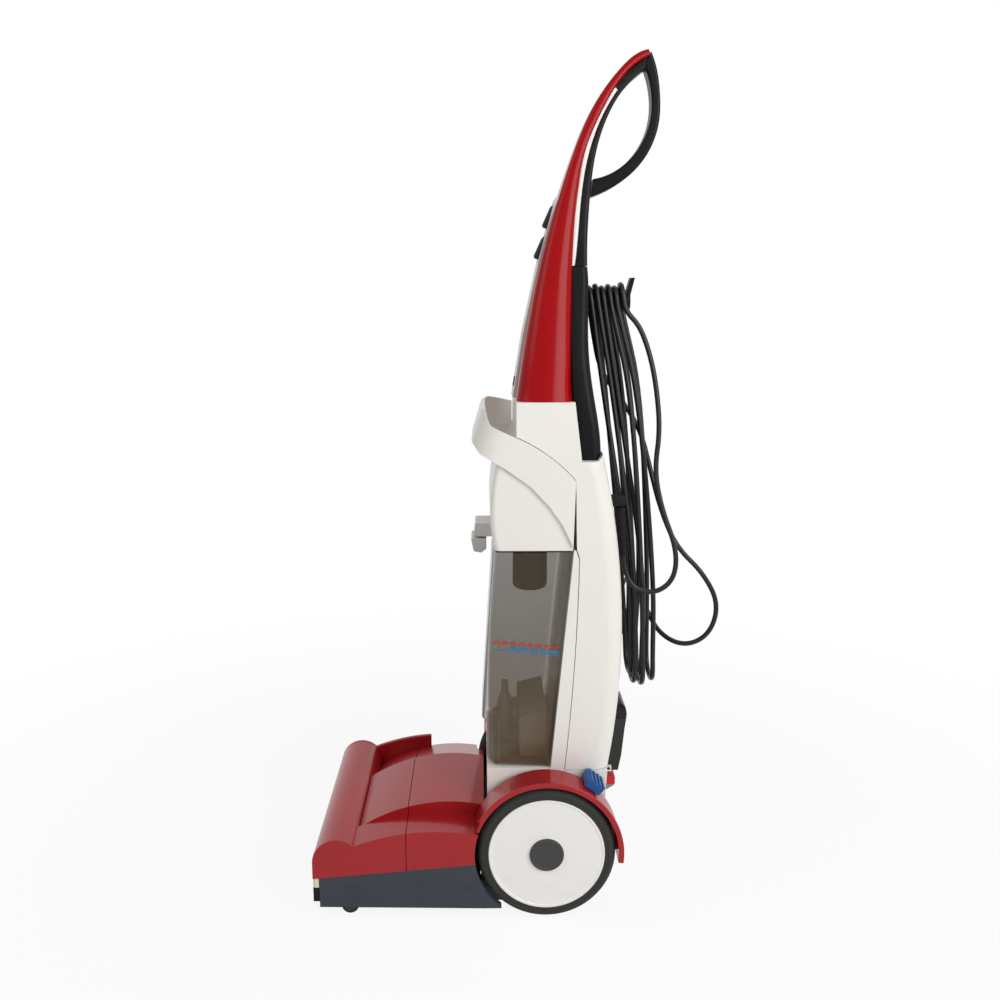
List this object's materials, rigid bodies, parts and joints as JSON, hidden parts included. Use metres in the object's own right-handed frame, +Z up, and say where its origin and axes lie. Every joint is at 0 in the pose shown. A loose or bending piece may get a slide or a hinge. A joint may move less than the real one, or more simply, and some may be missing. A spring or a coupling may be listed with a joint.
{
  "type": "floor scrubber",
  "caption": "Upright floor scrubber with a wheeled brush base, a smoky recovery tank, a tilting body with a loop handle, and a mains cord hung on its hook.",
  "frame": {"origin": "on the floor, at the middle of the machine's length and width without its cord", "axes": "+Z up, front of the machine towards -X, its left side towards -Y, operator behind at +X"},
  "size_m": [0.5781, 0.33, 1.1635],
  "materials": {
    "handle_red": "high gloss",
    "cover_red": "metallic gloss",
    "chassis_grey": "fine texture",
    "cream": "satin",
    "smoke": "clear smoky",
    "tyre": "matte",
    "wheel_white": "satin",
    "cap_grey": "satin",
    "box_grey": "satin",
    "pedal_blue": "ribbed",
    "pedal_red": "satin",
    "steel": "plain",
    "motor_metal": "cast",
    "slate": "satin",
    "black_soft": "soft matte",
    "panel_grey": "satin",
    "switch_dark": "satin",
    "rubber": "matte",
    "cord": "satin",
    "bristle": "fibre",
    "foam": "open foam",
    "ivory": "satin"
  },
  "bodies": {
    "base": {"base_chassis": "chassis_grey", "front_cover": "cover_red", "rear_cover": "cover_red", "left_fender": "cover_red", "right_fender": "cover_red", "axle_stubs": "steel", "front_splash_strip": "rubber", "front_bumper": "ivory", "brush_motor": "motor_metal", "drive_belt": "rubber", "spray_bar": "slate"},
    "left_wheel": {"left_tyre": "tyre", "left_wheel_disc": "wheel_white", "left_hub_cap": "cap_grey"},
    "right_wheel": {"right_tyre": "tyre", "right_wheel_disc": "wheel_white", "right_hub_cap": "cap_grey"},
    "left_roller": {"left_front_roller": "cap_grey"},
    "right_roller": {"right_front_roller": "cap_grey"},
    "brush": {"brush_core": "cream", "brush_bristles": "bristle", "brush_pulley": "slate"},
    "motor_drive": {"motor_pulley": "steel"},
    "side_plate": {"brush_side_plate": "cover_red"},
    "squeegee": {"squeegee_holder": "slate", "squeegee_blades": "rubber"},
    "squeegee_foot": {"squeegee_pedal": "pedal_blue"},
    "upright": {"tank_cradle": "cream", "pivot_bushes": "slate", "vacuum_motor": "motor_metal", "rear_housing": "cream", "solution_tank": "wheel_white", "exhaust_filter": "foam", "control_panel": "panel_grey", "handle_shell": "handle_red", "handle_strip": "cream", "grip_loop": "black_soft", "handle_spine": "black_soft", "handle_cover": "slate", "cord_hook": "slate", "cord_gland": "rubber", "cord_lead": "cord", "cord_hank": "cord", "cord_tail": "cord", "mains_plug": "cord"},
    "release": {"release_arm": "steel", "release_pedal": "pedal_red"},
    "filter_door": {"filter_cover": "box_grey"},
    "pump_rocker": {"pump_switch": "switch_dark"},
    "brush_rocker": {"brush_switch": "switch_dark"},
    "reset": {"reset_button": "switch_dark"},
    "tank": {"recovery_tank": "smoke", "lid_seal": "rubber", "tank_lid": "cream", "carry_loop": "cream", "float_cage": "black_soft", "standpipe": "box_grey", "latch_bracket": "panel_grey"},
    "latch": {"latch_lever": "panel_grey"},
    "float_ball": {"float": "ivory"}
  },
  "joints": [
    {"name": "upright_tilt", "type": "hinge", "parent": "base", "child": "upright", "pos_m": [0.084, 0, 0.0945], "axis": [0, 1, 0], "range_deg": [0, 60]},
    {"name": "left_wheel_spin", "type": "hinge", "parent": "base", "child": "left_wheel", "pos_m": [0.084, -0.1465, 0.0945], "axis": [0, 1, 0], "continuous": true},
    {"name": "right_wheel_spin", "type": "hinge", "parent": "base", "child": "right_wheel", "pos_m": [0.084, 0.1465, 0.0945], "axis": [0, 1, 0], "continuous": true},
    {"name": "left_roller_spin", "type": "hinge", "parent": "base", "child": "left_roller", "pos_m": [-0.188, -0.138, 0.012], "axis": [0, 1, 0], "continuous": true},
    {"name": "right_roller_spin", "type": "hinge", "parent": "base", "child": "right_roller", "pos_m": [-0.188, 0.138, 0.012], "axis": [0, 1, 0], "continuous": true},
    {"name": "brush_spin", "type": "hinge", "parent": "base", "child": "brush", "pos_m": [-0.12, 0, 0.043], "axis": [0, 1, 0], "continuous": true},
    {"name": "motor_spin", "type": "hinge", "parent": "base", "child": "motor_drive", "pos_m": [-0.045, -0.15, 0.088], "axis": [0, 1, 0], "continuous": true},
    {"name": "side_plate_slide", "type": "slide", "parent": "base", "child": "side_plate", "axis": [0, 1, 0], "range_m": [0, 0.06]},
    {"name": "squeegee_lift", "type": "slide", "parent": "base", "child": "squeegee", "axis": [0, 0, 1], "range_m": [-0.0045, 0]},
    {"name": "squeegee_pedal_press", "type": "hinge", "parent": "base", "child": "squeegee_foot", "pos_m": [0.084, -0.11, 0.0945], "axis": [0, 1, 0], "range_deg": [0, 18]},
    {"name": "release_press", "type": "hinge", "parent": "upright", "child": "release", "pos_m": [0.175, 0, 0.116], "axis": [0, 1, 0], "range_deg": [0, 12], "stiffness_Nm_per_rad": 3, "springref_deg": -5.73},
    {"name": "filter_door_swing", "type": "hinge", "parent": "upright", "child": "filter_door", "pos_m": [0.181, 0, 0.165], "axis": [0, 1, 0], "range_deg": [0, 50]},
    {"name": "pump_switch_rock", "type": "hinge", "parent": "upright", "child": "pump_rocker", "pos_m": [0.08046, 0, 0.90853], "axis": [0, 1, 0], "range_deg": [-7, 0]},
    {"name": "brush_switch_rock", "type": "hinge", "parent": "upright", "child": "brush_rocker", "pos_m": [0.09171, 0, 0.94953], "axis": [0, 1, 0], "range_deg": [-7, 0]},
    {"name": "reset_press", "type": "slide", "parent": "upright", "child": "reset", "axis": [0.9876, 0, -0.1571], "range_m": [0, 0.002], "stiffness_N_per_m": 400, "springref_m": -0.001},
    {"name": "tank_tip", "type": "hinge", "parent": "upright", "child": "tank", "pos_m": [0.018, 0, 0.197], "axis": [0, 1, 0], "range_deg": [-25, 0]},
    {"name": "latch_flip", "type": "hinge", "parent": "tank", "child": "latch", "pos_m": [-0.009, 0, 0.519], "axis": [0, 1, 0], "range_deg": [0, 60]},
    {"name": "float_rise", "type": "slide", "parent": "tank", "child": "float_ball", "axis": [0, 0, 1], "range_m": [0, 0.03]}
  ],
  "couplings": [
    {"joint": "motor_spin", "follows": "brush_spin", "ratio": 2},
    {"joint": "squeegee_pedal_press", "follows": "squeegee_lift", "rad_per_m": -69.8}
  ]
}
